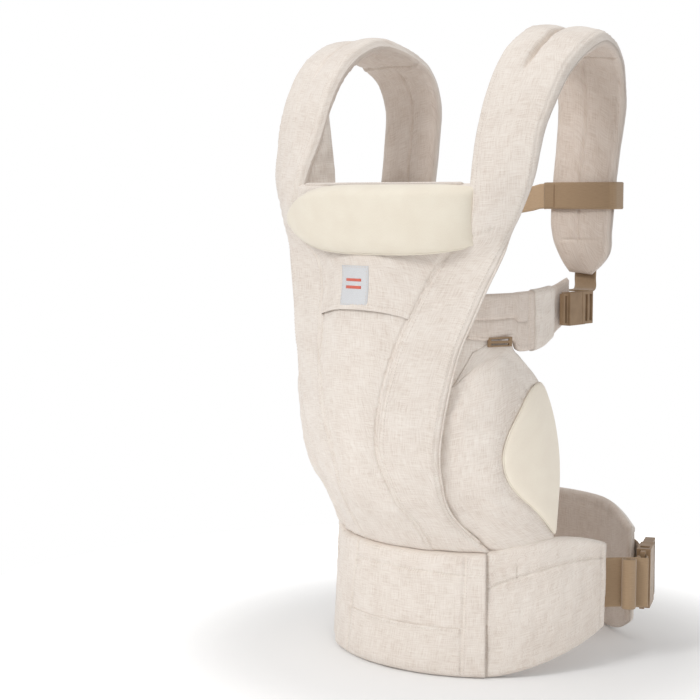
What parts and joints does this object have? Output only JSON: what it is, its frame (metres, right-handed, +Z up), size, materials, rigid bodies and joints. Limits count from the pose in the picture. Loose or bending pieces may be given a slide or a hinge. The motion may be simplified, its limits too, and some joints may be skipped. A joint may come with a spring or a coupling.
{
  "type": "soft baby carrier",
  "caption": "Soft structured baby carrier on its closed waist belt, with padded shoulder straps, fold-down head support, seat sides and side-release buckles.",
  "frame": {"origin": "centre of the bounding box at the floor, on which the closed waist belt stands", "axes": "+Z up, -Y towards the front panel with its pocket and label, +X towards the side of the waist buckle"},
  "size_m": [0.3448, 0.3787, 0.6247],
  "materials": {
    "linen": "woven linen blend with slubs, matt",
    "lining": "woven linen lining, matt",
    "cream_cotton": "smooth knitted cotton, soft matt",
    "foam": "hidden padding",
    "webbing": "ribbed woven webbing",
    "buckle_plastic": "moulded, satin",
    "label": "woven, plain, matt"
  },
  "bodies": {
    "carrier": {"belt_foam": "foam", "belt_front_cover": "linen", "belt_wing_cover_right": "linen", "belt_wing_cover_left": "linen", "belt_lining": "lining", "belt_pocket_panel": "linen", "lumbar_pad_foam": "foam", "lumbar_pad_cover": "linen", "body_wadding": "foam", "body_lining": "lining", "front_lower_panel": "linen", "front_pocket_panel": "linen", "side_band_right": "linen", "side_band_left": "linen", "upper_yoke": "linen", "label": "label", "strap_cover_right": "linen", "strap_cover_left": "linen", "strap_foam_right": "foam", "strap_foam_left": "foam", "strap_lining_right": "lining", "strap_lining_left": "lining", "neck_gusset_right": "lining", "neck_gusset_left": "lining", "seat_side_panel_right": "linen", "seat_side_panel_left": "linen", "seat_insert_right": "cream_cotton", "seat_insert_left": "cream_cotton", "seat_tab_right": "linen", "seat_tab_left": "linen", "arm_strap_right": "linen", "arm_strap_left": "linen", "arm_keeper_right": "linen", "arm_keeper_left": "linen", "arm_webbing_right": "webbing", "arm_webbing_left": "webbing", "waist_buckle_female": "buckle_plastic", "arm_buckle_right_female": "buckle_plastic", "arm_buckle_left_female": "buckle_plastic", "waist_webbing_right": "webbing", "waist_webbing_left": "webbing"},
    "seat_slider_right": {"seat_slider_right": "buckle_plastic"},
    "seat_slider_left": {"seat_slider_left": "buckle_plastic"},
    "waist_buckle_male": {"waist_buckle_male": "buckle_plastic"},
    "waist_buckle_prong_upper": {"waist_buckle_prong_upper": "buckle_plastic"},
    "waist_buckle_prong_lower": {"waist_buckle_prong_lower": "buckle_plastic"},
    "chest_strap": {"chest_buckle_female": "buckle_plastic", "chest_strap_right": "webbing", "chest_strap_left": "webbing"},
    "chest_buckle_male": {"chest_buckle_male": "buckle_plastic"},
    "chest_buckle_prong_upper": {"chest_buckle_prong_upper": "buckle_plastic"},
    "chest_buckle_prong_lower": {"chest_buckle_prong_lower": "buckle_plastic"},
    "arm_buckle_right_male": {"arm_buckle_right_male": "buckle_plastic"},
    "arm_buckle_right_prong_upper": {"arm_buckle_right_prong_upper": "buckle_plastic"},
    "arm_buckle_right_prong_lower": {"arm_buckle_right_prong_lower": "buckle_plastic"},
    "arm_buckle_left_male": {"arm_buckle_left_male": "buckle_plastic"},
    "arm_buckle_left_prong_upper": {"arm_buckle_left_prong_upper": "buckle_plastic"},
    "arm_buckle_left_prong_lower": {"arm_buckle_left_prong_lower": "buckle_plastic"},
    "head_support": {"head_support_cover": "cream_cotton", "head_support_wadding": "foam"}
  },
  "joints": [
    {"name": "head_support_fold", "type": "hinge", "parent": "carrier", "child": "head_support", "pos_m": [-0.0032, -0.15225, 0.474], "axis": [-1, 0, 0], "range_deg": [0, 150]},
    {"name": "waist_buckle_release", "type": "slide", "parent": "carrier", "child": "waist_buckle_male", "axis": [-0.3907, 0.9205, 0], "range_m": [0, 0.03]},
    {"name": "waist_buckle_squeeze_upper", "type": "hinge", "parent": "waist_buckle_male", "child": "waist_buckle_prong_upper", "pos_m": [0.15421, 0.10157, 0.1044], "axis": [0.9205, 0.3907, 0], "range_deg": [0, 9], "stiffness_Nm_per_rad": 0.05},
    {"name": "waist_buckle_squeeze_lower", "type": "hinge", "parent": "waist_buckle_male", "child": "waist_buckle_prong_lower", "pos_m": [0.15421, 0.10157, 0.0556], "axis": [-0.9205, -0.3907, 0], "range_deg": [0, 9], "stiffness_Nm_per_rad": 0.05},
    {"name": "chest_strap_height", "type": "slide", "parent": "carrier", "child": "chest_strap", "axis": [0, 0, 1], "range_m": [-0.02, 0.02]},
    {"name": "chest_buckle_release", "type": "slide", "parent": "chest_strap", "child": "chest_buckle_male", "axis": [1, 0, 0], "range_m": [0, 0.022]},
    {"name": "chest_buckle_squeeze_upper", "type": "hinge", "parent": "chest_buckle_male", "child": "chest_buckle_prong_upper", "pos_m": [-0.0032, 0.04375, 0.4728], "axis": [0, -1, 0], "range_deg": [0, 11], "stiffness_Nm_per_rad": 0.02},
    {"name": "chest_buckle_squeeze_lower", "type": "hinge", "parent": "chest_buckle_male", "child": "chest_buckle_prong_lower", "pos_m": [-0.0032, 0.04375, 0.4512], "axis": [0, 1, 0], "range_deg": [0, 11], "stiffness_Nm_per_rad": 0.02},
    {"name": "arm_buckle_right_release", "type": "slide", "parent": "carrier", "child": "arm_buckle_right_male", "axis": [0, 1, 0], "range_m": [0, 0.022]},
    {"name": "arm_buckle_right_squeeze_upper", "type": "hinge", "parent": "arm_buckle_right_male", "child": "arm_buckle_right_prong_upper", "pos_m": [0.1228, 0.01375, 0.3638], "axis": [1, 0, 0], "range_deg": [0, 11], "stiffness_Nm_per_rad": 0.02},
    {"name": "arm_buckle_right_squeeze_lower", "type": "hinge", "parent": "arm_buckle_right_male", "child": "arm_buckle_right_prong_lower", "pos_m": [0.1228, 0.01375, 0.3422], "axis": [-1, 0, 0], "range_deg": [0, 11], "stiffness_Nm_per_rad": 0.02},
    {"name": "arm_buckle_left_release", "type": "slide", "parent": "carrier", "child": "arm_buckle_left_male", "axis": [0, 1, 0], "range_m": [0, 0.022]},
    {"name": "arm_buckle_left_squeeze_upper", "type": "hinge", "parent": "arm_buckle_left_male", "child": "arm_buckle_left_prong_upper", "pos_m": [-0.1292, 0.01375, 0.3638], "axis": [1, 0, 0], "range_deg": [0, 11], "stiffness_Nm_per_rad": 0.02},
    {"name": "arm_buckle_left_squeeze_lower", "type": "hinge", "parent": "arm_buckle_left_male", "child": "arm_buckle_left_prong_lower", "pos_m": [-0.1292, 0.01375, 0.3422], "axis": [-1, 0, 0], "range_deg": [0, 11], "stiffness_Nm_per_rad": 0.02},
    {"name": "seat_slider_right_travel", "type": "slide", "parent": "carrier", "child": "seat_slider_right", "axis": [0, 0, -1], "range_m": [0, 0.008]},
    {"name": "seat_slider_left_travel", "type": "slide", "parent": "carrier", "child": "seat_slider_left", "axis": [0, 0, -1], "range_m": [0, 0.008]}
  ],
  "couplings": [
    {"joint": "waist_buckle_squeeze_lower", "follows": "waist_buckle_squeeze_upper", "ratio": 1},
    {"joint": "chest_buckle_squeeze_lower", "follows": "chest_buckle_squeeze_upper", "ratio": 1},
    {"joint": "arm_buckle_right_squeeze_lower", "follows": "arm_buckle_right_squeeze_upper", "ratio": 1},
    {"joint": "arm_buckle_left_squeeze_lower", "follows": "arm_buckle_left_squeeze_upper", "ratio": 1}
  ]
}
